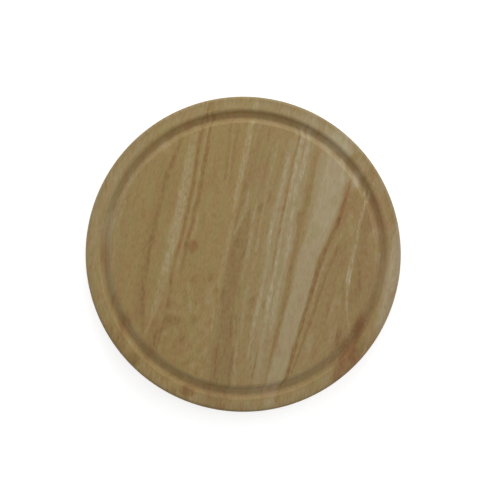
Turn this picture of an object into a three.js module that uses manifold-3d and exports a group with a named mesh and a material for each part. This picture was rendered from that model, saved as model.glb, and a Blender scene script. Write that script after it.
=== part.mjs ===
// Round wooden cutting board: edge-glued staves turned to a disc, with a juice groove inside the rim.
// Millimetres, +Z up, origin at the middle of the underside, +Y along the grain of the staves.
import * as THREE from "three";
import { mergeVertices } from "three/addons/utils/BufferGeometryUtils.js";
import Module from "manifold-3d";

// Disc
const BOARD_DIAMETER = 300;
const BOARD_THICKNESS = 18;
const TOP_EDGE_RADIUS = 3;
const BOTTOM_EDGE_RADIUS = 3;

// Juice groove, cut with a round-nosed bit and rounded over at both lips
const GROOVE_INSET = 18.5; // rim of the board to the middle of the groove
const GROOVE_BIT_RADIUS = 4.5;
const GROOVE_DEPTH = 4.6;
const GROOVE_LIP_RADIUS = 4.5;

// Staves, from one glue line to the next; the widths are taken in turn and repeat on a wider board
const STAVE_WIDTHS = [48, 58.5, 57, 49.5];
const CENTRE_JOINT_X = -13.5; // glue line nearest to the middle of the disc
const MIN_OUTER_STAVE = 18; // a narrower strip at the rim stays part of its neighbour
const GLUE_THICKNESS = 0.2;

// Facets
const ROUND_SEGMENTS = 120; // round the disc, a multiple of 4
const EDGE_STEPS = 4;
const LIP_STEPS = 4;
const GROOVE_STEPS = 8;

// Finish
const WOOD_ROUGHNESS = 0.62;
const GLUE_ROUGHNESS = 0.5;
const GLUE_COLOUR = 0x7a6440;
const WOOD_COLOURS = [0x917c54, 0x907a51, 0x8f7951, 0x937f5b, 0x95805c, 0x8c7250];

const BOARD_RADIUS = BOARD_DIAMETER / 2;
const GROOVE_RADIUS = BOARD_RADIUS - GROOVE_INSET;
const SPARE = 10; // how far a stave blank reaches past the disc before it is turned

const wasm = await Module();
wasm.setup();

// Points along an arc about (radius, height), both ends included.
function arc(radius, height, arcRadius, from, to, steps) {
  return Array.from({ length: steps + 1 }, (_, i) => {
    const angle = from + ((to - from) * i) / steps;
    return new THREE.Vector2(radius + arcRadius * Math.cos(angle), height + arcRadius * Math.sin(angle));
  });
}

// Section of the groove, from its outer lip to its inner lip.
function grooveSection() {
  const bitHeight = BOARD_THICKNESS - GROOVE_DEPTH + GROOVE_BIT_RADIUS;
  const lipHeight = BOARD_THICKNESS - GROOVE_LIP_RADIUS;
  const reach = GROOVE_BIT_RADIUS + GROOVE_LIP_RADIUS;
  const drop = Math.max(0, bitHeight - lipHeight);
  const meet = Math.asin(drop / reach); // where lip and bit arcs meet, below the level of the bit's middle
  const half = reach * Math.cos(meet);
  const up = Math.PI / 2;
  return [
    ...arc(GROOVE_RADIUS + half, lipHeight, GROOVE_LIP_RADIUS, up, Math.PI - meet, LIP_STEPS),
    ...arc(GROOVE_RADIUS, bitHeight, GROOVE_BIT_RADIUS, -meet, meet - Math.PI, GROOVE_STEPS).slice(1, -1),
    ...arc(GROOVE_RADIUS - half, lipHeight, GROOVE_LIP_RADIUS, meet, up, LIP_STEPS),
  ];
}

// Half section of the disc, from the middle of the underside round the rim to the middle of the top.
function discSection() {
  const bottom = BOTTOM_EDGE_RADIUS;
  const top = TOP_EDGE_RADIUS;
  return [
    new THREE.Vector2(0, 0),
    ...arc(BOARD_RADIUS - bottom, bottom, bottom, -Math.PI / 2, 0, EDGE_STEPS),
    ...arc(BOARD_RADIUS - top, BOARD_THICKNESS - top, top, 0, Math.PI / 2, EDGE_STEPS),
    ...grooveSection(),
    new THREE.Vector2(0, BOARD_THICKNESS),
  ];
}

// A closed three.js geometry as a manifold-3d solid.
function solidOf(geometry) {
  geometry.deleteAttribute("normal");
  geometry.deleteAttribute("uv");
  const merged = mergeVertices(geometry);
  const corners = merged.index.array;
  const kept = [];
  for (let i = 0; i < corners.length; i += 3) {
    const [a, b, c] = corners.subarray(i, i + 3);
    if (a !== b && b !== c && c !== a) kept.push(a, b, c);
  }
  const vertProperties = merged.attributes.position.array;
  return new wasm.Manifold(new wasm.Mesh({ numProp: 3, vertProperties, triVerts: new Uint32Array(kept) }));
}

// A manifold-3d solid as a three.js geometry.
function geometryOf(solid) {
  const { vertProperties, triVerts } = solid.getMesh();
  const geometry = new THREE.BufferGeometry();
  geometry.setAttribute("position", new THREE.BufferAttribute(vertProperties, 3));
  geometry.setIndex(new THREE.BufferAttribute(triVerts, 1));
  geometry.computeVertexNormals();
  return geometry;
}

// The turned disc before it is parted into staves and glue lines.
function turnedDisc() {
  return solidOf(new THREE.LatheGeometry(discSection(), ROUND_SEGMENTS).rotateX(Math.PI / 2));
}

// What the disc leaves of an upright blank between two planes across the grain.
function cutFromDisc(disc, left, right) {
  const blank = new THREE.BoxGeometry(right - left, BOARD_DIAMETER + 2 * SPARE, BOARD_THICKNESS + 2 * SPARE);
  blank.translate((left + right) / 2, 0, BOARD_THICKNESS / 2);
  return geometryOf(disc.intersect(solidOf(blank)));
}

// Places of the glue lines, from left to right.
function glueLinePlaces() {
  const furthest = BOARD_RADIUS - MIN_OUTER_STAVE;
  const count = STAVE_WIDTHS.length;
  const widthOf = (k) => STAVE_WIDTHS[((k % count) + count) % count];
  const places = [CENTRE_JOINT_X];
  for (let k = 1, x = CENTRE_JOINT_X + widthOf(1); x < furthest; k++, x += widthOf(k)) places.push(x);
  for (let k = 0, x = CENTRE_JOINT_X - widthOf(0); x > -furthest; k--, x -= widthOf(k)) places.unshift(x);
  return places;
}

function woodMaterial(index) {
  const color = WOOD_COLOURS[index % WOOD_COLOURS.length];
  return new THREE.MeshStandardMaterial({ color, roughness: WOOD_ROUGHNESS, metalness: 0 });
}

function glueMaterial() {
  return new THREE.MeshStandardMaterial({ color: GLUE_COLOUR, roughness: GLUE_ROUGHNESS, metalness: 0 });
}

function addPiece(group, name, geometry, material) {
  const piece = new THREE.Mesh(geometry, material);
  piece.name = name;
  group.add(piece);
}

const board = new THREE.Group();
const staves = new THREE.Group();
const glueLines = new THREE.Group();
board.add(staves, glueLines);

const disc = turnedDisc();
const places = glueLinePlaces();
const halfGlue = GLUE_THICKNESS / 2;

// A stave fills the space from the glue on its left to the glue on its right, or runs out past the rim.
for (let i = 0; i <= places.length; i++) {
  const left = i > 0 ? places[i - 1] + halfGlue : -BOARD_RADIUS - SPARE;
  const right = i < places.length ? places[i] - halfGlue : BOARD_RADIUS + SPARE;
  addPiece(staves, `stave_${i + 1}`, cutFromDisc(disc, left, right), woodMaterial(i));
}

places.forEach((x, i) => {
  addPiece(glueLines, `glue_line_${i + 1}`, cutFromDisc(disc, x - halfGlue, x + halfGlue), glueMaterial());
});

export default board;
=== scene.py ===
"""Round cutting board: six edge-glued staves of oiled rubberwood, turned to a disc with a juice groove.

The part's frame is kept: metres, +Z up, +Y along the grain, origin at the middle of the underside.
"""
import math
from typing import NamedTuple

import bmesh
import bpy
from bpy.props import FloatProperty, FloatVectorProperty, IntProperty, PointerProperty
from mathutils import Matrix, Vector


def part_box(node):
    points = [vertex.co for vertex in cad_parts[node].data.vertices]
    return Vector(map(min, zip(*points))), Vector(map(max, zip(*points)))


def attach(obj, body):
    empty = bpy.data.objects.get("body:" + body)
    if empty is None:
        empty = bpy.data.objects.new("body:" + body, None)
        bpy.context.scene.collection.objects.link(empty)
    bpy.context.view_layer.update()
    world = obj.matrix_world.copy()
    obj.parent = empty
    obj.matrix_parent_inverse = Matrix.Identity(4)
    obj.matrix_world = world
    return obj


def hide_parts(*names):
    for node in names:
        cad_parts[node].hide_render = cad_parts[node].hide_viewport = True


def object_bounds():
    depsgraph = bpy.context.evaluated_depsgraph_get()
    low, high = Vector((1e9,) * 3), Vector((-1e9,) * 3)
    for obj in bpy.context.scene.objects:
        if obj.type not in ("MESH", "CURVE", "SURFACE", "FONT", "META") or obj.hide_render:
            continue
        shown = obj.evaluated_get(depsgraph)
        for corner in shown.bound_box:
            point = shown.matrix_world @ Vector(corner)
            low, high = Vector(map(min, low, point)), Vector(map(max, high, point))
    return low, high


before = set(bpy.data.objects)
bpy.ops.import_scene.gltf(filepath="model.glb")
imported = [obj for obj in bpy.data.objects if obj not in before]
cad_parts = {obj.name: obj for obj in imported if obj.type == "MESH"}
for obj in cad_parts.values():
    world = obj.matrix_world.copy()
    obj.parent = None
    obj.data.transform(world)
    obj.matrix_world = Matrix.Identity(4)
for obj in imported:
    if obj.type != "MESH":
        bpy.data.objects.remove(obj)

bl_info = {
    "name": "Round Cutting Board",
    "version": (1, 0, 0),
    "blender": (4, 5, 0),
    "location": "3D View > Sidebar > Cutting Board",
    "description": "Makes the staves and glue lines of a round cutting board, and the stage it lies on",
    "category": "Add Mesh",
}

CAD_LOW, CAD_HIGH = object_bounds()
MM = 0.001
PICTURE_SIDE = 500  # pixels, whose middles are counted from 0
REACH = 160.0  # millimetres from the middle that streaks are drawn within


def srgb(red, green, blue):
    """A colour written in 8-bit display values, as the linear values that Blender keeps."""
    shares = [value / 255 for value in (red, green, blue)]
    return tuple(s / 12.92 if s <= 0.04045 else ((s + 0.055) / 1.055) ** 2.4 for s in shares)


def length(name, description, default):
    return FloatProperty(
        name=name, description=description, default=default, min=0.0,
        precision=5, subtype="DISTANCE", unit="LENGTH",
    )


def share(name, description, default):
    return FloatProperty(name=name, description=description, default=default, min=0.0, subtype="FACTOR")


def power(name, description, default):
    return FloatProperty(
        name=name, description=description, default=default, min=0.0, subtype="POWER", unit="POWER"
    )


def colour(name, description, red, green, blue):
    return FloatVectorProperty(
        name=name, description=description, default=srgb(red, green, blue),
        size=3, min=0.0, max=1.0, subtype="COLOR",
    )


# Settings


class BoardSizes(bpy.types.PropertyGroup):
    """Sizes of the turned disc; its radius and thickness come from the part's own box"""

    radius: length("Radius", "Middle of the board to its rim", CAD_HIGH.x)
    thickness: length("Thickness", "Underside to cutting face", CAD_HIGH.z)
    top_edge: length("Top edge radius", "Rounding between the cutting face and the rim", 3 * MM)
    bottom_edge: length("Bottom edge radius", "Rounding between the underside and the rim", 3 * MM)
    groove_inset: length("Groove inset", "Rim to the middle of the juice groove", 18.5 * MM)
    groove_bit: length("Groove bit radius", "Radius of the round bottom of the groove", 4.5 * MM)
    groove_depth: length("Groove depth", "Cutting face to the bottom of the groove", 4.6 * MM)
    groove_lip: length("Groove lip radius", "Rounding of both lips of the groove", 4.5 * MM)
    hand_sanding: share("Hand sanding", "How far the rounded edges vary round the board", 0.12)
    round_segments: IntProperty(
        name="Round segments", description="Faces round the disc", default=720, min=48
    )


class WoodFinish(bpy.types.PropertyGroup):
    """Colours and surface of the oiled wood and of the glue"""

    umber: colour("Umber", "Wood two tones darker than plain", 106, 77, 36)
    brown: colour("Brown", "Wood one tone darker than plain", 125, 98, 58)
    tan: colour("Tan", "Plain wood", 142, 120, 76)
    straw: colour("Straw", "Wood one tone paler than plain", 154, 138, 103)
    cream: colour("Cream", "Wood two tones paler than plain", 168, 156, 124)
    # Colour of the oil in the end grain, and of the painted shade on the rim
    oil_and_shade: colour("Burn", "What oil and hands leave in the end grain and the rim", 64, 48, 29)
    pore: colour("Pore", "Open vessels of the wood", 98, 74, 45)
    rust: colour("Rust", "Tint of knots and of some dark streaks", 142, 92, 58)
    olive: colour("Olive", "Tint of the greener wood between them", 136, 124, 70)
    glue_dark: colour("Glue, dark", "Glue line where it is thin", 108, 86, 52)
    glue_light: colour("Glue, light", "Glue line where it is thick", 132, 109, 70)
    end_grain: share("End grain", "How much darker the oiled end grain is", 0.06)
    # Painted shade: the rim and its rounded edge turn darker towards the outside, as they would in shade
    rim_shade: share("Handled edge", "How much darker the rim is where hands hold it", 0.16)
    roughness: share("Roughness", "Mean roughness of the oiled wood", 0.56)
    shine: share("Shine", "Specular level of the oiled wood", 0.32)
    grain_relief: length("Grain relief", "Height of the fibres over the pores", 0.09 * MM)


class StageSettings(bpy.types.PropertyGroup):
    """Camera, lamps and floor"""

    lens: FloatProperty(
        name="Lens", description="Focal length in millimetres, on a 36 mm sensor", default=85.0, min=10.0
    )
    board_column: FloatProperty(
        name="Board column", description="Pixel column of the board's middle", default=242.72
    )
    board_row: FloatProperty(
        name="Board row", description="Pixel row of the board's middle", default=253.75
    )
    board_pixels: FloatProperty(
        name="Board radius in pixels", description="Radius of the board in the picture",
        default=157.6, min=1.0,
    )
    grain_turn: FloatProperty(
        name="Grain turn", description="Turn of the grain from upright, clockwise in the picture",
        default=math.radians(12.0), subtype="ANGLE", unit="ROTATION",
    )
    key_turn: FloatProperty(
        name="Key turn", description="Turn of the key lamp from the top of the picture, clockwise",
        default=math.radians(3.0), subtype="ANGLE", unit="ROTATION",
    )
    side_turn: FloatProperty(
        name="Side turn", description="Turn of both side lamps from the top of the picture",
        default=math.radians(80.0), subtype="ANGLE", unit="ROTATION",
    )
    lamp_height: FloatProperty(
        name="Lamp height", description="Height of the lamps over the horizon",
        default=math.radians(24.0), subtype="ANGLE", unit="ROTATION",
    )
    lamp_distance: length("Lamp distance", "Board to each lamp", 1.4)
    lamp_width: length("Lamp width", "Width of a lamp's face", 1.5)
    lamp_tall: length("Lamp face height", "Height of a lamp's face", 0.4)
    key_power: power("Key power", "Power of the key lamp", 12.2)
    left_power: power("Left power", "Power of the lamp on the left", 2.7)
    right_power: power("Right power", "Power of the lamp on the right", 6.0)
    fill: share("Fill", "Brightness of the white surroundings as a lamp", 0.59)
    floor_side: length("Floor side", "Side of the square floor", 8.0)
    floor: colour("Floor", "Colour of the floor", 206, 206, 206)
    floor_lift: share("Floor lift", "How much whiter the floor shows than its own colour", 0.6)


# Figure of the wood on the cutting face. Places are millimetres along the grain (y) and across it (x),
# and tones are display steps lighter (+) or darker (-) than plain wood.


class Streak(NamedTuple):
    """A streak along the grain through places (along, across, width, tone), from back to front."""

    places: tuple
    soft: float = 0.6  # blurred share of the half width, both ways
    fade: float = 9.0  # how far it thins out past both ends
    rusty: float = 0.0  # how much redder than other wood of its tone
    even: bool = False  # a band of smooth wood, not broken up by flecks


class Spot(NamedTuple):
    """A knot, fleck or cloud with its middle at (along, across), so long and so wide."""

    tone: float
    place: tuple
    size: tuple
    rusty: float = 0.0

    @property
    def even(self):
        return self.size[1] >= CLOUD_WIDTH


class Stave(NamedTuple):
    """How one stave was sawn: the tree's pith lies so far to its side and so deep under its face."""

    pith_across: float
    pith_depth: float
    lean: float  # drift of the grain across, per millimetre along
    seed: float
    tone: float
    red: float  # share more red than the plain finish
    gold: float  # share less blue than the plain finish
    lines: float  # strength of the fine lines
    mottle: float  # strength of the clouds in the front half
    figure: tuple


class Grain(NamedTuple):
    """Noise in the wood: its size in millimetres across the grain, along it and up, and its tone."""

    size: tuple
    tone: float


class ShadeRing(NamedTuple):
    """A ring of painted light and shade in the groove: how far out from its middle, half its width, and its
    tones round the board.
    """

    out: float
    half: float
    back: float
    left: float
    front: float
    right: float


LAYERS = Grain((4.5, 20.0, 30.0), 11.0)
LINES = Grain((1.5, 10.0, 8.0), 10.0)
FLECKS = Grain((1.8, 4.6, 4.6), 23.0)
FIBRES = Grain((0.45, 6.0, 0.45), 9.0)
CLOUDS = Grain((6.0, 8.0, 8.0), 32.0)
RIM_MARKS = Grain((2.2, 10.0, 8.0), 34.0)
BREAKS = Grain((2.4, 6.0, 6.0), 4.0)  # they break up the streaks, by a share instead of a tone
VESSELS = (0.6, 9.0, 0.6)  # size only
VESSEL_EDGE = (0.09, 0.2)  # the noise at the edge of a vessel and where it has its full depth
BENDS = ((0.8, (40.0, 90.0, 40.0)), (1.6, (7.0, 18.0, 15.0)), (2.4, (1.2, 11.0, 4.0)))  # reach, size
SMOOTH_DETAIL = 1.0
PLAIN_DETAIL = 2.0
RICH_DETAIL = 3.0

TONE_RANGE = 36.0  # display steps from plain wood to the darkest and the palest tone
FIGURE_STRENGTH = 1.14  # share of their written tone that streaks and spots show on average
CLOUD_WIDTH = 10.0  # a spot as wide as this is smooth
SPOT_EDGE = (0.25, 1.2)  # shares of its half size between which a spot fades out
CLOUD_ENDS = (-60.0, -25.0)  # places along the grain between which the clouds fade out
CALM = 0.03  # how much fainter the flecks are in a pale band, and stronger in a dark one, per step
RIM_TONE = 5.0  # the flat outside the groove is a little paler
RIM_SLOPE = 0.014  # and more so to the back, per millimetre
LIP_FADE = 2.0  # how far inside the groove's outer edge that tone begins
RIM_SHADE_REACH = 9.0  # how far in from the rim the painted shade reaches

HUE_DRIFT = (8.0, 22.0, 20.0)  # size of the patches of redder and of greener wood
DRIFT_TO_RUST = 1.1
DRIFT_TO_OLIVE = 1.6
RUST_PER_TONE = 0.009  # share of rust per display step of a rusty mark
GROOVE_RUST = 0.09  # share of rust low in the groove
GROOVE_CORE = 0.5  # shares of the groove's half width and depth where that rust is full
MOST_RUST = 0.5

END_GRAIN_EDGE = (0.3, 0.95)  # turn of a face towards the grain, from side grain to end grain
END_LINES = 10.0  # tone of the growth rings that show on end grain
PORES = 0.22  # how strongly the vessels show along the grain
END_PORES = 0.3  # and how much more so on end grain

# What each adds to the roughness, and how high it stands against the depth of a vessel
ROUGHER_FIBRES = 0.16
ROUGHER_VESSELS = 0.12
ROUGHER_ENDS = 0.14
ROUGHER_LAYERS = 0.12
FIBRE_HEIGHT = 0.7
LINE_HEIGHT = 0.5
BUMP_STRENGTH = 0.6

GLUE_PATCHES = (3.0, 9.0, 3.0)  # size of the thick and of the thin places in a glue line
GLUE_CONTRAST = 2.0
GLUE_ROUGHNESS = 0.4
ROUGHER_GLUE = 0.12  # what a thick place adds

# Painted light and shade in the groove: paler and darker tones of its inner lip, inner wall, floor, outer
# wall and outer lip, side by side round the board, where the lamps alone don't give the groove its shading
RING_EDGE = (0.25, 1.25)  # shares of its half width between which a ring fades out
RING_DEPTH = 3.0  # how far under the groove's floor the rings end
GROOVE_SHADE_RINGS = (
    ShadeRing(-6.6, 1.8, back=-3, left=-2, front=-1, right=-2.5),
    ShadeRing(-3.7, 2.6, back=6, left=17, front=11, right=8),
    ShadeRing(0.0, 3.0, back=-4.5, left=2.5, front=-1, right=1),
    ShadeRing(4.0, 2.6, back=-3.5, left=4, front=1, right=1),
    ShadeRing(6.4, 2.2, back=6, left=3, front=-4, right=3),
)

JOINT_STREAK = Streak((
    (128, -61, 3, -9), (100, -62.5, 3, -12), (68, -61, 3.4, -12), (45, -60, 3, -12), (5, -60, 3.4, -11),
    (-10, -62, 3, -9), (-24, -62.6, 2.4, -4), (-37, -62.5, 3.4, -13), (-52, -60, 3, -8),
    (-72, -60, 4, -8), (-85, -62.5, 5, -9), (-106, -64, 6, -8),
), rusty=1.0)
EDGE_GLINT = Streak((
    (82, 103, 2, 14), (50, 102.3, 3, 16), (30, 102.7, 2.5, 16), (18, 102, 3, 17), (5, 102.3, 3.5, 22),
    (-2, 102.8, 4, 26), (-15, 104, 2.5, 17), (-25, 106, 2, 15), (-35, 108.5, 1.7, 12),
    (-50, 113.4, 1.6, 11),
), 0.5, 5.0)

STAVES = {
    "stave_1": Stave(
        pith_across=62, pith_depth=24, lean=0.0, seed=11,
        tone=-1, red=0.0, gold=0.02, lines=0.8, mottle=0.0,
        figure=(
            Streak(((52, -116, 2, -4), (25, -117.5, 2.5, -4), (0, -118, 2, -3)), 0.8),
            Streak(((45, -121, 3, 3), (0, -122, 4, 4), (-35, -120, 3, 3)), 0.8),
            Streak(((62, -146, 8, 4), (0, -146, 9, 4), (-55, -144, 8, 4)), 0.9, even=True),
            Spot(-4, (25, -112), (18, 5)),
            Spot(-5, (-78, -117), (20, 7)),
            Spot(-7, (-96, -108), (10, 4)),
            Spot(13, (2, -131), (44, 13)),
            Spot(7, (48, -117), (26, 7)),
            Spot(-14, (-70, -107), (28, 12), 1.4),
            Spot(5, (40, -132), (60, 12)),
            Spot(7, (-50, -123), (20, 8)),
        ),
    ),
    "stave_2": Stave(
        pith_across=-58, pith_depth=-40, lean=0.02, seed=23,
        tone=-1, red=0.01, gold=0.06, lines=0.8, mottle=0.0,
        figure=(
            Streak((
                (95, -80.5, 4, -10), (75, -83, 4, -11), (60, -86, 5, -11), (40, -86.5, 4, -9),
                (0, -88, 4.5, -11), (-40, -86.5, 3.6, -11), (-62, -84.5, 4, -11), (-77, -81, 4, -10),
                (-90, -78.5, 3, -9),
            )),
            Streak((
                (72, -91, 6, -4), (30, -91, 7, -4), (0, -92, 7, -5), (-40, -91, 7, -6), (-66, -87, 8, -6),
                (-82, -85, 6, -5),
            ), 0.9),
            Streak(((65, -80, 6, -3), (30, -79, 6, -3)), 0.9),
            Streak((
                (112, -69, 5, 5), (88, -69, 7, 9), (55, -67.5, 10, 12), (28, -67.5, 8, 16),
                (10, -68.5, 10, 14), (-20, -69, 8, 13), (-45, -70, 8, 9), (-62, -71, 6, 8),
                (-75, -72.5, 4, 9), (-90, -75, 2.6, 8),
            ), 0.45),
            Streak(((-80, -69, 5, -6), (-96, -69, 12, -8), (-114, -69, 12, -6)), 0.7),
            Streak(((126, -72, 4, 5), (114, -73, 4, 5)), 0.7, 4.0),
            Spot(-4, (18, -101), (16, 6)),
            Spot(-4, (60, -107), (14, 6)),
            Spot(-18, (-118, -82), (14, 17)),
            Spot(-14, (-122, -78), (10, 9)),
            Spot(-10, (-104, -97), (20, 16)),
            Spot(-8, (-104, -108), (34, 26)),
            Spot(-6, (-93, -108), (12, 9)),
            Spot(-14, (-86, -96), (26, 12), 1.4),
            Spot(-7, (-38, -71), (8, 7)),
            Spot(8, (-104, -84), (8, 16)),
            Spot(6, (86, -92), (20, 9)),
            Spot(-6, (98, -89), (22, 11)),
            Spot(-7, (110, -72), (14, 14)),
            Spot(-8, (-112, -94), (14, 12)),
            JOINT_STREAK,
        ),
    ),
    "stave_3": Stave(
        pith_across=54, pith_depth=-30, lean=-0.06, seed=37,
        tone=0, red=0.015, gold=0.06, lines=0.65, mottle=1.0,
        figure=(
            JOINT_STREAK,
            Streak((
                (108, -57.5, 2, 5), (60, -56.5, 2, 5), (15, -57, 3, 5), (-15, -58.5, 3, 5),
                (-30, -58, 2, 4),
            )),
            Streak((
                (130, -57, 3, -9), (112, -56, 2.4, -13), (95, -54.5, 3, -14), (82, -54, 4, -14),
                (55, -53, 3.5, -13), (42, -52.5, 3.5, -11), (32, -54, 4, -13), (15, -53, 3.5, -11),
                (0, -54.5, 4.5, -15), (-12, -54, 3, -12), (-24, -54, 3, -8),
            )),
            Spot(-25, (-3, -47.8), (16, 10), 2.2),
            Streak(((27, -49.5, 3.5, 7), (3, -49.5, 3.5, 6)), 0.8, 6.0),
            Spot(-7, (23, -43.5), (17, 5)),
            Streak((
                (120, -37.5, 3, -6), (100, -35, 3, -6), (85, -33.5, 3, -6), (68, -31.5, 3, -6),
            ), 0.7, rusty=1.0),
            Streak(((114, -29.5, 3, -6), (95, -28.5, 3, -6), (66, -27, 2, -6)), 0.7),
            Streak(((92, -31.5, 2, 5), (70, -29.5, 2, 5)), 0.7),
            Spot(-4, (66, -43), (24, 9)),
            Streak((
                (126, -18.5, 5, 13), (85, -17.5, 5, 13), (60, -18, 5, 12), (45, -18, 5, 10),
                (33, -16.5, 4, 8), (0, -17, 5, 7), (-20, -17, 4, 6), (-32, -17, 3, 5),
            ), 0.55),
            Spot(-12, (-28, -26), (13, 7)),
            Spot(-7, (-35, -41.5), (12, 6)),
            Spot(-7, (-54, -35), (10, 5)),
            Spot(-9, (-40, -18), (15, 6)),
            Spot(-5, (-47, -46.5), (9, 6)),
            Spot(-5, (-54, -20.5), (9, 6)),
            Streak(((-43, -44.5, 3, 6), (-62, -37.5, 4, 6)), 0.7),
            Streak(((-50, -18.6, 2.5, 7), (-66, -15, 2.5, 7), (-78, -13.5, 2, 6))),
            Spot(-10, (-76, -51), (13, 13)),
            Spot(-8, (-77, -59), (12, 10)),
            Spot(-10, (-89, -40.5), (13, 7)),
            Spot(-5, (-72, -45), (11, 9)),
            Spot(-5, (-73, -33), (15, 8)),
            Spot(-5, (-95, -54), (12, 9)),
            Spot(-6, (-98, -22.5), (12, 7)),
            Streak(((-30, -46, 30, -1), (-70, -47, 28, -2), (-130, -46, 30, -3)), 0.6, 20.0, even=True),
            Streak(((-40, -22, 8, 4), (-70, -21, 9, 4), (-112, -19, 10, 3)), 0.8, 12.0),
            Spot(5, (-45, -41), (22, 7)),
            Spot(6, (140, -18), (12, 10)),
            Spot(-7, (121, -50), (12, 22)),
            Spot(-22, (-138, -25), (13, 17)),
            Spot(-10, (-117, -20), (13, 9)),
        ),
    ),
    "stave_4": Stave(
        pith_across=-66, pith_depth=-34, lean=-0.03, seed=53,
        tone=0, red=-0.008, gold=-0.025, lines=1.1, mottle=0.0,
        figure=(
            Streak(((122, -5, 3, -4), (98, -9, 6, -5), (85, -8, 8, -5), (66, -7, 7, -5)), 0.8),
            Streak(((118, 0, 3, -4), (84, -2, 3, -4)), 0.8),
            Streak(((66, -12, 3, -8), (50, -11, 3, -8), (38, -12, 3, -8), (26, -13, 2, -8)), 0.7),
            Streak((
                (60, -8, 2, 6), (48, -6.5, 2.5, 6), (38, -7, 2.5, 6), (28, -10, 3, 6), (18, -12.5, 2, 6),
            ), 0.6, 5.0),
            Streak((
                (44, -2.5, 1, -9), (33, -3, 5, -9), (22, -4.5, 10, -9), (0, -6, 14, -9),
                (-40, -6, 13, -9), (-60, -3, 14, -8), (-90, 0, 18, -8), (-150, 4, 26, -8),
            ), 0.3, 4.0, even=True),
            Spot(-7, (9, -7.5), (12, 8)),
            Spot(-10, (-42, -11), (13, 5)),
            Spot(-3, (-25, -3), (16, 6)),
            Spot(-9, (-36, 3.5), (14, 5)),
            Spot(-5, (0, 0.5), (16, 3)),
            Streak(((47, 2, 2, 7), (30, 2.5, 3, 7), (5, 4, 3.4, 9), (-12, 3.5, 3, 3), (-24, 4, 2, 6))),
            Spot(-10, (45, 6.5), (17, 6)),
            Streak(((97, 4.5, 2, -4), (72, 4.5, 2.5, -4)), 0.8),
            Streak(((37, 7, 2, -4), (18, 8.6, 2, -4)), 0.8),
            Spot(-7, (58, 13), (17, 4)),
            Streak((
                (108, 10, 3, 5), (95, 9, 3, 6), (40, 10, 3, 6), (0, 11.5, 3, 6), (-45, 11, 3.5, 6),
                (-70, 13, 3, 6), (-88, 12.5, 3, 6), (-118, 16.5, 3.4, 5),
            )),
            Streak(((97, 17, 4, -4), (68, 17, 4, -4)), 0.9),
            Spot(-6, (27, 18), (19, 3.6)),
            Spot(-5, (-15, 19), (13, 5)),
            Spot(-8, (-43, 18), (17, 7)),
            Spot(-6, (-58, 18), (13, 6)),
            Spot(-6, (-75, 22.5), (15, 5)),
            Streak((
                (98, 22.5, 3, 8), (75, 23, 3, 9), (50, 21, 3, 9), (30, 21, 3, 11), (8, 23, 3.2, 8),
                (-4, 24, 3, 2), (-16, 24, 3.2, 7), (-30, 24, 3.4, 10), (-62, 23.5, 3.4, 10),
                (-92, 24.5, 3, 8),
            )),
            Streak((
                (130, 35, 22, 7), (60, 32, 26, 9), (20, 32, 27, 9), (-30, 33, 25, 7), (-70, 34, 22, 6),
                (-110, 37, 18, 4),
            ), 0.4, 20.0, even=True),
            Streak((
                (122, 29, 2.5, -13), (92, 28, 2.2, -12), (72, 28, 2.5, -12), (55, 29, 2.5, -14),
                (22, 28.5, 2, -11), (-6, 30, 2.2, -12),
            )),
            Spot(-12, (-43, 29), (13, 4)),
            Streak((
                (126, 32.5, 3.5, 14), (100, 32, 3.5, 14), (65, 31.5, 3, 10), (35, 31, 2.5, 8),
                (5, 32.5, 3, 8), (-18, 33, 3, 13), (-34, 33, 3.5, 14), (-60, 34, 4, 8),
                (-85, 35.5, 4, 5), (-115, 38, 4.5, 4),
            )),
            Streak((
                (126, 38.5, 4, 14), (95, 38.5, 4, 14), (70, 36.5, 3.5, 12), (47, 37.5, 4, 10),
                (30, 38.5, 5, 10), (15, 40, 4, 8), (-28, 39.5, 4, 9), (-55, 40, 4, 8), (-64, 41, 3, 7),
            )),
            Spot(-16, (45, 44), (15, 5)),
            Spot(8, (140, 36), (10, 14)),
            Spot(8, (-126, 40), (12, 13)),
            Streak(((-60, 0.7, 2, -6), (-70, 2.5, 2.5, -7), (-78, 4.2, 2, -6)), 0.5, 4.0),
            Streak(((-58, 5.7, 1.7, -9), (-73, 8.8, 1.7, -9)), 0.5, 4.0),
            Streak(((-94, -5.7, 2, -8), (-105, -4.5, 2.2, -8), (-116, -2.8, 2, -8)), 0.5),
            Streak(((-96, 1.8, 2, -3), (-114, 4.2, 2, -3))),
            Streak(((-92, 10.3, 3, -8), (-115, 11.5, 3, -9), (-128, 13.4, 3, -9))),
            Streak(((-90, 32.5, 2, -11), (-120, 32.5, 2, -11))),
            Streak(((-76, 12.6, 1.8, -6), (-90, 15.2, 1.8, -6)), 0.6, 4.0),
            Streak(((-80, 25.8, 1.8, -6), (-94, 27.2, 1.8, -6)), 0.6, 4.0),
        ),
    ),
    "stave_5": Stave(
        pith_across=-74, pith_depth=-46, lean=0.1, seed=71,
        tone=0, red=0.0, gold=-0.03, lines=0.95, mottle=0.0,
        figure=(
            Streak((
                (106, 49, 3, -3), (95, 49, 3, -5), (80, 49.4, 3.4, -6), (62, 49.4, 5, -9),
                (50, 48, 4, -8), (35, 46.6, 4, -8), (18, 48.5, 4, -7), (-3, 46.5, 4, -9),
                (-15, 47.5, 4, -8), (-57, 48, 3.2, -8), (-78, 45.8, 4, -9), (-97, 45, 2.5, -8),
            )),
            Streak((
                (128, 69, 22, 18), (95, 69, 21.5, 20), (60, 68.5, 22, 20), (40, 65.6, 19.5, 19),
                (20, 62.4, 18.5, 17), (0, 60.2, 17, 16), (-20, 60.5, 17, 16), (-60, 58, 16, 15),
                (-95, 55.4, 14.2, 15), (-122, 53.3, 13, 12),
            ), 0.25, even=True),
            Streak(((130, 54, 7, 9), (95, 54.5, 7, 10), (70, 55, 6, 8), (40, 54, 5, 5)), 0.7, even=True),
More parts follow.
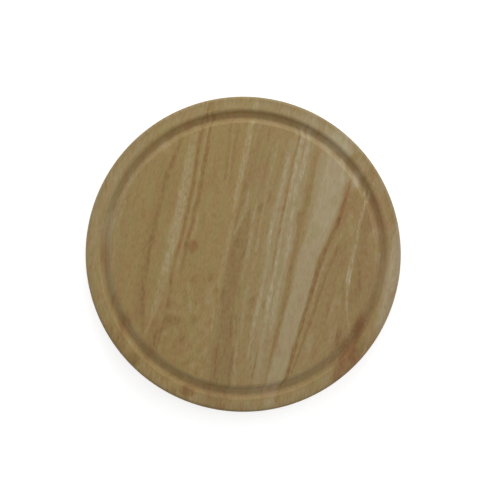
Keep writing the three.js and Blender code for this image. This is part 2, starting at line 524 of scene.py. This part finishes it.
            Spot(-6, (24, 58.5), (18, 3.6)),
            Streak((
                (88, 92, 18, -3), (70, 92, 19, -4), (20, 88, 22, -3), (-30, 82, 22, -2),
                (-60, 80, 22, -1),
            ), 0.4, 15.0, rusty=1.0, even=True),
            Streak((
                (84, 85.5, 2.2, -12), (65, 83.5, 3.5, -18), (43, 81, 3.5, -18), (33, 78.5, 4, -18),
                (12, 73.5, 4, -18), (-12, 71.5, 3.6, -18), (-42, 69, 3.4, -18), (-75, 66.7, 3.4, -18),
                (-104, 64.5, 3, -16), (-114, 63.5, 3, -10),
            ), 0.5, rusty=1.0),
            Streak(((37, 87, 2, 7), (12, 79, 2.5, 7), (-10, 75, 2.5, 7), (-37, 74, 2, 6))),
            Streak((
                (22, 86.8, 3, -9), (0, 81.5, 3, -9), (-15, 79.5, 3, -9), (-37, 77.6, 2.8, -9),
                (-60, 74, 3, -9), (-99, 68.8, 2.5, -9),
            ), 0.55),
            Spot(-4, (78, 92), (15, 7)),
            Spot(-5, (26, 90.5), (17, 10)),
            Spot(-3, (8, 95), (15, 7)),
            Spot(-6, (-35, 89), (26, 5)),
            Spot(-4, (-60, 92), (22, 8)),
            Spot(-3, (-78, 85), (18, 9)),
            Spot(7, (55, 92), (18, 8)),
            Spot(7, (45, 96), (18, 7)),
            Spot(8, (-28, 94), (20, 7)),
            Spot(5, (-58, 98), (18, 9)),
            Streak(((-6, 98.4, 2, -9), (-22, 101.4, 2, -9)), 0.6, 5.0),
            Spot(8, (-134, 54), (16, 14)),
            Spot(-8, (-110, 90), (14, 6)),
            Spot(16, (90, 87), (24, 22)),
            Spot(16, (92, 93), (22, 11)),
            Spot(-8, (86, 84), (14, 7)),
            Spot(-14, (110, 70), (11, 17)),
            Spot(-8, (112, 85), (10, 10)),
            Spot(-9, (99, 99), (20, 8)),
            Spot(-6, (70, 74), (22, 8)),
            Spot(5, (-65, 79), (40, 9)),
            Spot(-7, (-119, 54), (9, 8)),
            Spot(-8, (-127, 60), (11, 8)),
            EDGE_GLINT,
        ),
    ),
    "stave_6": Stave(
        pith_across=-60, pith_depth=26, lean=-0.12, seed=89,
        tone=-5, red=0.015, gold=-0.06, lines=0.85, mottle=0.0,
        figure=(
            EDGE_GLINT,
            Streak((
                (74, 107.5, 6, -5), (50, 108, 7, -5), (20, 110, 7, -5), (-20, 112, 7, -4),
            ), 0.8, rusty=1.0),
            Streak(((7, 110.6, 2.5, -8), (-10, 115.4, 2.5, -8)), 0.6, 4.0),
            Spot(-4, (0, 107), (13, 5)),
            Spot(8, (48, 118), (18, 7)),
            Spot(8, (25, 126), (20, 8)),
            Spot(8, (40, 115), (16, 6)),
            Spot(9, (8, 133), (64, 13)),
            Spot(7, (44, 124), (24, 10)),
            Spot(7, (-96, 103), (24, 9)),
            Streak(((72, 141, 12, 14), (20, 143, 12, 18), (-36, 143, 11, 14)), 0.6, 16.0, even=True),
            Spot(-15, (-48, 120), (36, 12), 1.0),
            Spot(-9, (-55, 121), (50, 14)),
            Spot(-14, (-70, 112), (28, 13), 1.0),
            Spot(-7, (-58, 129), (14, 9)),
            Spot(-12, (-58, 104.5), (26, 7)),
            Spot(-12, (-78, 120), (34, 17), 2.4),
            Spot(-12, (-68, 124), (28, 14)),
            Spot(-16, (-90, 111), (38, 12), 1.0),
        ),
    ),
}


# Numbers that vary through a material


class Field:
    """An output socket of a node tree, whose arithmetic adds Math nodes."""

    def __init__(self, tree, socket):
        self.tree = tree
        self.socket = socket

    def math(self, operation, *others):
        node = self.tree.nodes.new("ShaderNodeMath")
        node.operation = operation
        for slot, value in zip(node.inputs, (self, *others)):
            feed(slot, value)
        return Field(self.tree, node.outputs[0])

    def __add__(self, other):
        return self.math("ADD", other)

    def __sub__(self, other):
        return self.math("SUBTRACT", other)

    def __mul__(self, other):
        return self.math("MULTIPLY", other)

    def __truediv__(self, other):
        return self.math("DIVIDE", other)

    def flipped(self):
        """One less this number."""
        return (self * -1.0) + 1.0

    def step(self, low, high):
        """0 up to low, 1 from high on, and smooth between."""
        node = self.tree.nodes.new("ShaderNodeMapRange")
        node.interpolation_type = "SMOOTHSTEP"
        feed(node.inputs["Value"], self)
        feed(node.inputs["From Min"], low)
        feed(node.inputs["From Max"], high)
        return Field(self.tree, node.outputs["Result"])


def feed(slot, value):
    """Links a field to an input, or sets a plain number or colour on it."""
    if isinstance(value, Field):
        value.tree.links.new(value.socket, slot)
    else:
        slot.default_value = value


def noise(place, size, seed, detail=PLAIN_DETAIL):
    """Smooth noise about zero, with blotches of the given size in millimetres."""
    tree = place[0].tree
    join = tree.nodes.new("ShaderNodeCombineXYZ")
    for slot, along, step in zip(join.inputs, place, size):
        feed(slot, along / step + seed)
    node = tree.nodes.new("ShaderNodeTexNoise")
    node.inputs["Scale"].default_value = 1.0
    node.inputs["Detail"].default_value = detail
    tree.links.new(join.outputs[0], node.inputs["Vector"])
    return Field(tree, node.outputs[0]) - 0.5


def painted(amount, under, over, mode="MIX"):
    """The colour over laid on the colour under, by an amount from 0 to 1."""
    node = amount.tree.nodes.new("ShaderNodeMix")
    node.data_type = "RGBA"
    node.blend_type = mode
    feed(node.inputs[0], amount)
    # The node's colours are its inputs 6 and 7 and its output 2
    for slot, value in ((node.inputs[6], under), (node.inputs[7], over)):
        feed(slot, value if isinstance(value, Field) else (*value, 1.0))
    return Field(amount.tree, node.outputs[2])


def surface_place(tree):
    """Place in the board's frame, in millimetres: across the grain, along it and up."""
    coordinates = tree.nodes.new("ShaderNodeTexCoord")
    split = tree.nodes.new("ShaderNodeSeparateXYZ")
    tree.links.new(coordinates.outputs["Object"], split.inputs[0])
    return [Field(tree, output) / MM for output in split.outputs]


def end_grain_share(tree):
    """1 where a face cuts across the grain, 0 where it runs along it."""
    geometry = tree.nodes.new("ShaderNodeNewGeometry")
    split = tree.nodes.new("ShaderNodeSeparateXYZ")
    tree.links.new(geometry.outputs["Normal"], split.inputs[0])
    return Field(tree, split.outputs["Y"]).math("ABSOLUTE").step(*END_GRAIN_EDGE)


# Wood


def growth_layer(place, stave, middle, top):
    """Where the growth layer through a point meets the cutting face, with the grain's lean taken out."""
    across, along, up = place
    pith = middle + stave.pith_across
    side = -1.0 if stave.pith_across > 0 else 1.0
    out = across - along * stave.lean - pith
    height = up - (top - stave.pith_depth)
    reach = out * out + height * height - stave.pith_depth ** 2
    return reach.math("ABSOLUTE").math("SQRT") * reach.math("SIGN") * side + pith


def curve(along, places, index, scale, shift):
    """A number that changes smoothly along the grain, through the index-th entry of each place."""
    tree = along.tree
    node = tree.nodes.new("ShaderNodeFloatCurve")
    node.mapping.extend = "HORIZONTAL"
    points = node.mapping.curves[0].points
    while len(points) < len(places):
        points.new(0.5, 0.5)
    for point, place in zip(points, sorted(places)):
        point.location = (place[0] / (2 * REACH) + 0.5, (place[index] - shift) / scale)
        point.handle_type = "AUTO_CLAMPED"
    node.mapping.update()
    feed(node.inputs["Value"], along / (2 * REACH) + 0.5)
    return Field(tree, node.outputs[0]) * scale + shift


def streak_tone(streak, across, along):
    middle = curve(along, streak.places, 1, 2 * REACH, -REACH)
    half = curve(along, streak.places, 2, REACH, 0.0) * 0.5
    tone = curve(along, streak.places, 3, 2 * TONE_RANGE, -TONE_RANGE)
    inside = ((across - middle).math("ABSOLUTE") / half).step(1 - streak.soft, 1 + streak.soft).flipped()
    back, front = streak.places[0][0], streak.places[-1][0]
    ends = along.step(front - streak.fade, front) * along.step(back, back + streak.fade).flipped()
    return inside * ends * tone


def spot_tone(spot, across, along):
    out = (across - spot.place[1]) * (2 / spot.size[1])
    run = (along - spot.place[0]) * (2 / spot.size[0])
    return (out * out + run * run).math("SQRT").step(*SPOT_EDGE).flipped() * spot.tone


def figure_tones(stave, across, along):
    """Tone of a stave's streaks and spots, of its smooth bands, and of all those that are rusty."""
    marks, bands, rusty = along * 0.0, along * 0.0, along * 0.0
    for mark in stave.figure:
        tone_of = streak_tone if isinstance(mark, Streak) else spot_tone
        tone = tone_of(mark, across, along)
        if mark.even:
            bands = bands + tone
        else:
            marks = marks + tone
        if mark.rusty:
            rusty = rusty + tone * mark.rusty
    return marks, bands, rusty


def wood_colour(tone, stave, wood):
    """The colour of a stave's wood for a tone in display steps from plain."""
    node = tone.tree.nodes.new("ShaderNodeValToRGB")
    colours = (wood.umber, wood.brown, wood.tan, wood.straw, wood.cream)
    stops = node.color_ramp.elements
    while len(stops) < len(colours):
        stops.new(1.0)
    for k, (stop, (red, green, blue)) in enumerate(zip(stops, colours)):
        stop.position = k / (len(colours) - 1)
        stop.color = (red * (1 + stave.red), green, blue * (1 - stave.gold), 1.0)
    feed(node.inputs[0], tone / (2 * TONE_RANGE) + 0.5)
    return Field(tone.tree, node.outputs[0])


def groove_share(out, up, sizes):
    """1 in the lower half of the juice groove, 0 outside it."""
    middle = (sizes.radius - sizes.groove_inset) / MM
    half = (sizes.groove_bit + sizes.groove_lip) / MM
    near = (out - middle).math("ABSOLUTE").step(GROOVE_CORE * half, half).flipped()
    return near * (up * -1.0 + sizes.thickness / MM).step(0.0, GROOVE_CORE * sizes.groove_depth / MM)


def groove_light_and_shade(place, out, sizes):
    """Painted light and shade on the lips, walls and floor of the juice groove, as tones ring by ring."""
    across, along, up = place
    floor = (sizes.thickness - sizes.groove_depth) / MM
    middle = (sizes.radius - sizes.groove_inset) / MM
    side, turn = across / out, along / out
    right, back = side.math("MAXIMUM", 0.0), turn.math("MAXIMUM", 0.0)
    left, front = side.math("MINIMUM", 0.0), turn.math("MINIMUM", 0.0)
    total = across * 0.0
    for ring in GROOVE_SHADE_RINGS:
        full, gone = (edge * ring.half for edge in RING_EDGE)
        near = (out - (middle + ring.out)).math("ABSOLUTE").step(full, gone).flipped()
        tone = back * back * ring.back + front * front * ring.front
        tone = tone + left * left * ring.left + right * right * ring.right
        total = total + near * tone
    return total * up.step(floor - RING_DEPTH, floor)


def wood_material(name, stave, middle, sizes, wood):
    """Solid wood: every face of a stave, end grain too, is a cut through the same growth layers."""
    material = bpy.data.materials.new(name)
    material.use_nodes = True
    tree = material.node_tree
    shader = tree.nodes["Principled BSDF"]
    place = surface_place(tree)
    across, along, up = place
    top = sizes.thickness / MM

    # Fibres wander a little from side to side
    bends = [noise(place, size, stave.seed + k) * reach for k, (reach, size) in enumerate(BENDS)]
    bent = (across + bends[0] + bends[1] + bends[2], along, up)
    layer = growth_layer(bent, stave, middle, top)
    grain = (layer, along, up)

    # Tone of the streaks and spots, then of the growth layers, fine lines, flecks and fibres
    layers = noise(grain, LAYERS.size, stave.seed + 3, RICH_DETAIL)
    lines = noise(grain, LINES.size, stave.seed + 4, RICH_DETAIL)
    flecks = noise(grain, FLECKS.size, stave.seed + 5)
    fibres = noise(bent, FIBRES.size, stave.seed + 6)
    breaks = noise(bent, BREAKS.size, stave.seed + 11)
    ends = end_grain_share(tree)
    marks, bands, rusty = figure_tones(stave, layer + along * stave.lean, along)
    tone = marks * (breaks * BREAKS.tone + layers + flecks + FIGURE_STRENGTH) + bands * FIGURE_STRENGTH
    line_tone = ends * END_LINES + LINES.tone * stave.lines
    tone = tone + layers * LAYERS.tone + lines * line_tone + stave.tone
    tone = tone + flecks * (bands * -CALM + 1.0) * FLECKS.tone + fibres * FIBRES.tone
    if stave.mottle:
        clouds = noise(bent, CLOUDS.size, stave.seed + 7) * along.step(*CLOUD_ENDS).flipped()
        tone = tone + clouds * (CLOUDS.tone * stave.mottle)

    # Tone of the flat outside the groove, and painted light and shade in the groove
    out = (across * across + along * along).math("SQRT")
    outer_lip = (sizes.radius - sizes.groove_inset + sizes.groove_bit + sizes.groove_lip) / MM
    rim_face = out.step(outer_lip - LIP_FADE, outer_lip)
    rim_marks = noise(bent, RIM_MARKS.size, stave.seed + 8)
    rim_tone = rim_marks * RIM_MARKS.tone + along * RIM_SLOPE + RIM_TONE
    tone = tone + rim_tone * rim_face + groove_light_and_shade(place, out, sizes)

    # Hue of the wood, then its open vessels: dashes along the grain, dots on the end grain
    vessels = noise(bent, VESSELS, stave.seed + 9, SMOOTH_DETAIL).step(*VESSEL_EDGE)
    drift = noise(bent, HUE_DRIFT, stave.seed + 10)
    redder = rusty * -RUST_PER_TONE + (drift * DRIFT_TO_RUST).math("MAXIMUM", 0.0)
    redder = redder + groove_share(out, up, sizes) * GROOVE_RUST
    greener = (drift * -DRIFT_TO_OLIVE).math("MAXIMUM", 0.0)
    hue = painted(redder.math("MINIMUM", MOST_RUST), wood_colour(tone, stave, wood), wood.rust)
    hue = painted(greener, hue, wood.olive)
    hue = painted(vessels * (ends * END_PORES + PORES), hue, wood.pore)

    # Oil darkens the end grain, and painted shade darkens the rim
    rim = out.step(sizes.radius / MM - RIM_SHADE_REACH, sizes.radius / MM)
    darker = ends * wood.end_grain + rim * wood.rim_shade
    hue = painted(darker, hue, wood.oil_and_shade)
    tree.links.new(hue.socket, shader.inputs["Base Color"])

    rough = fibres * ROUGHER_FIBRES + vessels * ROUGHER_VESSELS + ends * ROUGHER_ENDS
    rough = rough + layers * ROUGHER_LAYERS + wood.roughness
    tree.links.new(rough.socket, shader.inputs["Roughness"])
    shader.inputs["Specular IOR Level"].default_value = wood.shine

    bump = tree.nodes.new("ShaderNodeBump")
    bump.inputs["Strength"].default_value = BUMP_STRENGTH
    bump.inputs["Distance"].default_value = wood.grain_relief
    feed(bump.inputs["Height"], fibres * FIBRE_HEIGHT + lines * LINE_HEIGHT - vessels)
    tree.links.new(bump.outputs["Normal"], shader.inputs["Normal"])
    return material


def glue_material(wood):
    """Cured glue, darker where the film is thin."""
    material = bpy.data.materials.new("cured_glue")
    material.use_nodes = True
    tree = material.node_tree
    shader = tree.nodes["Principled BSDF"]
    place = surface_place(tree)
    thick = noise(place, GLUE_PATCHES, 0.0, RICH_DETAIL) * GLUE_CONTRAST + 0.5
    hue = painted(thick.math("MAXIMUM", 0.0).math("MINIMUM", 1.0), wood.glue_dark, wood.glue_light)
    tree.links.new(hue.socket, shader.inputs["Base Color"])
    feed(shader.inputs["Roughness"], thick * ROUGHER_GLUE + GLUE_ROUGHNESS)
    shader.inputs["Specular IOR Level"].default_value = wood.shine
    return material


# Meshes

BOTTOM_STEPS = 12
TOP_STEPS = 14
LIP_STEPS = 12
GROOVE_STEPS = 22
SANDING_WAVES = ((0.6, 3, 0.7), (0.4, 8, 2.1))  # share, number round the board and phase
BOTTOM_SHIFT = 1.0  # radians that shift the waves, so that no two edges vary alike
LIP_SHIFT = 2.0
SHARP_ANGLE = math.radians(40)
CUT_TOLERANCE = 1e-7
RIM_REACH = 0.999  # share of the radius; a stave's side further out is the rim and isn't cut


def arc(middle, height, radius, start, stop, steps):
    """Points along an arc in the section, both ends included, angles in degrees."""
    for k in range(steps + 1):
        angle = math.radians(start + (stop - start) * k / steps)
        yield middle + radius * math.cos(angle), height + radius * math.sin(angle)


def eased(radius, amount, angle):
    """An edge radius as hand sanding leaves it at one angle round the board."""
    wave = sum(part * math.sin(count * angle + phase) for part, count, phase in SANDING_WAVES)
    return radius * (1 + amount * wave)


def disc_section(sizes, angle):
    """(radius, height) from the underside round the rim and through the groove to the cutting face."""
    top = sizes.thickness
    bottom_edge = eased(sizes.bottom_edge, sizes.hand_sanding, angle + BOTTOM_SHIFT)
    top_edge = eased(sizes.top_edge, sizes.hand_sanding, angle)
    lip = eased(sizes.groove_lip, sizes.hand_sanding, angle + LIP_SHIFT)
    bit_height = top - sizes.groove_depth + sizes.groove_bit
    reach = sizes.groove_bit + lip
    meet = math.degrees(math.asin((bit_height - top + lip) / reach))
    half = reach * math.cos(math.radians(meet))
    groove = sizes.radius - sizes.groove_inset
    return [
        *arc(sizes.radius - bottom_edge, bottom_edge, bottom_edge, -90, 0, BOTTOM_STEPS),
        *arc(sizes.radius - top_edge, top - top_edge, top_edge, 0, 90, TOP_STEPS),
        *arc(groove + half, top - lip, lip, 90, 180 - meet, LIP_STEPS),
        *list(arc(groove, bit_height, sizes.groove_bit, -meet, meet - 180, GROOVE_STEPS))[1:-1],
        *arc(groove - half, top - lip, lip, meet, 90, LIP_STEPS),
    ]


def turned_disc(sizes):
    """The whole disc, before it is parted into staves and glue lines."""
    disc = bmesh.new()
    spokes = []
    for k in range(sizes.round_segments):
        angle = 2 * math.pi * k / sizes.round_segments
        out = Vector((math.cos(angle), math.sin(angle), 0))
        section = disc_section(sizes, angle)
        spokes.append([disc.verts.new(out * radius + Vector((0, 0, height))) for radius, height in section])
    for here, there in zip(spokes, spokes[1:] + spokes[:1]):
        for k in range(len(here) - 1):
            disc.faces.new((here[k], there[k], there[k + 1], here[k + 1]))
    disc.faces.new([spoke[0] for spoke in reversed(spokes)])
    disc.faces.new([spoke[-1] for spoke in spokes])
    return disc


def cut_upright(piece, x, keep_right):
    """Cuts a mesh along an upright plane across the board and closes the cut."""
    everything = [*piece.verts, *piece.edges, *piece.faces]
    result = bmesh.ops.bisect_plane(
        piece, geom=everything, dist=CUT_TOLERANCE, plane_co=(x, 0, 0), plane_no=(1, 0, 0),
        clear_inner=keep_right, clear_outer=not keep_right,
    )
    rim = [item for item in result["geom_cut"] if isinstance(item, bmesh.types.BMEdge)]
    bmesh.ops.edgeloop_fill(piece, edges=rim)


def part_from_disc(disc, name, left, right, reach):
    """The disc between two upright planes within reach, as an object with crisp joints and round edges."""
    piece = disc.copy()
    if left > -reach:
        cut_upright(piece, left, True)
    if right < reach:
        cut_upright(piece, right, False)
    bmesh.ops.recalc_face_normals(piece, faces=piece.faces)
    for face in piece.faces:
        face.smooth = True
    for edge in piece.edges:
        edge.smooth = edge.calc_face_angle(0.0) < SHARP_ANGLE
    mesh = bpy.data.meshes.new(name)
    piece.to_mesh(mesh)
    piece.free()
    made = bpy.data.objects.new(name, mesh)
    bpy.context.scene.collection.objects.link(made)
    weighted = made.modifiers.new("even flats", "WEIGHTED_NORMAL")
    weighted.keep_sharp = True
    return made


def nodes_named(start):
    found = sorted(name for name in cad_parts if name.startswith(start))
    if not found:
        raise RuntimeError(f"the part has no node whose name starts with {start}")
    return found


def stand_in(piece, node, material):
    """Lets a piece take the place, the body and the finish of the part's own node."""
    piece.data.materials.append(material)
    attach(piece, "root")
    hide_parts(node)


# Stage

FLOOR_DROP = 0.05 * MM  # keeps the floor clear of the underside
SENSOR_WIDTH = 36.0


def make_floor(stage):
    mesh = bpy.data.meshes.new("table")
    half = stage.floor_side / 2
    corners = [(-half, -half, 0), (half, -half, 0), (half, half, 0), (-half, half, 0)]
    mesh.from_pydata(corners, [], [(0, 1, 2, 3)])
    floor = bpy.data.objects.new("table", mesh)
    floor.location.z = CAD_LOW.z - FLOOR_DROP
    bpy.context.scene.collection.objects.link(floor)
    mesh.materials.append(floor_material(stage))


def seen_ray(tree):
    """1 for rays that show the background, directly or in gloss or glass."""
    path = tree.nodes.new("ShaderNodeLightPath")
    kinds = ("Is Camera Ray", "Is Glossy Ray", "Is Transmission Ray")
    camera, gloss, glass = (Field(tree, path.outputs[kind]) for kind in kinds)
    return camera.math("MAXIMUM", gloss).math("MAXIMUM", glass)


def floor_material(stage):
    """Pale floor that keeps the board's shadow and shows as white elsewhere."""
    material = bpy.data.materials.new("table_top")
    material.use_nodes = True
    tree = material.node_tree
    tree.nodes.clear()
    matt = tree.nodes.new("ShaderNodeBsdfDiffuse")
    matt.inputs["Color"].default_value = (*stage.floor, 1.0)
    lift = tree.nodes.new("ShaderNodeEmission")
    feed(lift.inputs["Strength"], seen_ray(tree) * stage.floor_lift)
    both = tree.nodes.new("ShaderNodeAddShader")
    tree.links.new(matt.outputs[0], both.inputs[0])
    tree.links.new(lift.outputs[0], both.inputs[1])
    out = tree.nodes.new("ShaderNodeOutputMaterial")
    tree.links.new(both.outputs[0], out.inputs["Surface"])
    return material


def make_surroundings(stage):
    """Soft light from all sides, and plain white where the surroundings are seen."""
    world = bpy.data.worlds.new("white_studio")
    world.use_nodes = True
    tree = world.node_tree
    back = tree.nodes["Background"]
    back.inputs["Color"].default_value = (1.0, 1.0, 1.0, 1.0)
    feed(back.inputs["Strength"], seen_ray(tree) * (1.0 - stage.fill) + stage.fill)
    bpy.context.scene.world = world


def picture_axes(stage):
    """Directions of the picture's right and top edge in the board's frame."""
    turn = stage.grain_turn
    right = Vector((math.cos(turn), math.sin(turn), 0))
    up = Vector((-math.sin(turn), math.cos(turn), 0))
    return right, up


def make_lamp(name, stage, turn, strength):
    """A wide lamp low over the table, turned clockwise from the top of the picture."""
    right, up = picture_axes(stage)
    level = up * math.cos(turn) + right * math.sin(turn)
    towards = level * math.cos(stage.lamp_height) + Vector((0, 0, math.sin(stage.lamp_height)))
    lamp = bpy.data.lights.new(name, "AREA")
    lamp.energy = strength
    lamp.shape = "RECTANGLE"
    lamp.size = stage.lamp_width
    lamp.size_y = stage.lamp_tall
    placed = bpy.data.objects.new(name, lamp)
    placed.location = towards * stage.lamp_distance
    placed.rotation_euler = towards.to_track_quat("Z", "Y").to_euler()
    placed.visible_camera = False
    bpy.context.scene.collection.objects.link(placed)


def make_camera(stage, sizes):
    """Looks straight down, set aside so that the board's middle falls on its pixel."""
    right, up = picture_axes(stage)
    camera = bpy.data.cameras.new("overhead_camera")
    camera.lens = stage.lens
    camera.sensor_width = SENSOR_WIDTH
    metres_per_pixel = sizes.radius / stage.board_pixels
    focal_pixels = PICTURE_SIDE * stage.lens / SENSOR_WIDTH
    widest = sizes.thickness - sizes.top_edge
    centre = (PICTURE_SIDE - 1) / 2
    aside = right * (centre - stage.board_column) + up * (stage.board_row - centre)
    placed = bpy.data.objects.new("overhead_camera", camera)
    frame_axes = Matrix((right, up, Vector((0, 0, 1)))).transposed()
    place = aside * metres_per_pixel + Vector((0, 0, widest + focal_pixels * metres_per_pixel))
    placed.matrix_world = Matrix.Translation(place) @ frame_axes.to_4x4()
    bpy.context.scene.collection.objects.link(placed)
    bpy.context.scene.camera = placed


# Operators


class CUTTING_BOARD_OT_set_stage(bpy.types.Operator):
    """Add the white table, the lamps and the overhead camera"""

    bl_idname = "cutting_board.set_stage"
    bl_label = "Set Stage"

    def execute(self, context):
        stage = context.scene.board_stage
        context.scene.view_settings.view_transform = "Standard"
        make_camera(stage, context.scene.board_sizes)
        make_floor(stage)
        make_surroundings(stage)
        make_lamp("key_lamp", stage, stage.key_turn, stage.key_power)
        make_lamp("left_lamp", stage, -stage.side_turn, stage.left_power)
        make_lamp("right_lamp", stage, stage.side_turn, stage.right_power)
        return {"FINISHED"}


class CUTTING_BOARD_OT_make_staves(bpy.types.Operator):
    """Add the wooden staves of the board, each with its own figure"""

    bl_idname = "cutting_board.make_staves"
    bl_label = "Make Staves"

    def execute(self, context):
        sizes, wood = context.scene.board_sizes, context.scene.board_wood
        disc = turned_disc(sizes)
        for node in nodes_named("stave_"):
            low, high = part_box(node)
            piece = part_from_disc(disc, "oiled_" + node, low.x, high.x, RIM_REACH * sizes.radius)
            middle = (low.x + high.x) / 2 / MM
            stand_in(piece, node, wood_material(node + "_wood", STAVES[node], middle, sizes, wood))
        disc.free()
        return {"FINISHED"}


class CUTTING_BOARD_OT_make_glue_lines(bpy.types.Operator):
    """Add the films of glue between the staves"""

    bl_idname = "cutting_board.make_glue_lines"
    bl_label = "Make Glue Lines"

    def execute(self, context):
        sizes, wood = context.scene.board_sizes, context.scene.board_wood
        disc = turned_disc(sizes)
        material = glue_material(wood)
        for node in nodes_named("glue_line_"):
            low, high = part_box(node)
            piece = part_from_disc(disc, "cured_" + node, low.x, high.x, sizes.radius)
            stand_in(piece, node, material)
        disc.free()
        return {"FINISHED"}


class CUTTING_BOARD_PT_build(bpy.types.Panel):
    """Lists the board's pieces and its settings"""

    bl_label = "Round Cutting Board"
    bl_idname = "CUTTING_BOARD_PT_build"
    bl_space_type = "VIEW_3D"
    bl_region_type = "UI"
    bl_category = "Cutting Board"

    def draw(self, context):
        for operator in OPERATORS:
            self.layout.operator(operator.bl_idname)
        for group in (context.scene.board_sizes, context.scene.board_wood, context.scene.board_stage):
            box = self.layout.box()
            for name in group.__annotations__:
                box.prop(group, name)


OPERATORS = (CUTTING_BOARD_OT_set_stage, CUTTING_BOARD_OT_make_staves, CUTTING_BOARD_OT_make_glue_lines)
CLASSES = (BoardSizes, WoodFinish, StageSettings, *OPERATORS, CUTTING_BOARD_PT_build)


def register():
    for each in CLASSES:
        bpy.utils.register_class(each)
    bpy.types.Scene.board_sizes = PointerProperty(type=BoardSizes)
    bpy.types.Scene.board_wood = PointerProperty(type=WoodFinish)
    bpy.types.Scene.board_stage = PointerProperty(type=StageSettings)


def unregister():
    del bpy.types.Scene.board_stage
    del bpy.types.Scene.board_wood
    del bpy.types.Scene.board_sizes
    for each in reversed(CLASSES):
        bpy.utils.unregister_class(each)


def main():
    register()
    bpy.ops.cutting_board.set_stage()
    bpy.ops.cutting_board.make_staves()
    bpy.ops.cutting_board.make_glue_lines()


if __name__ == "__main__":
    main()
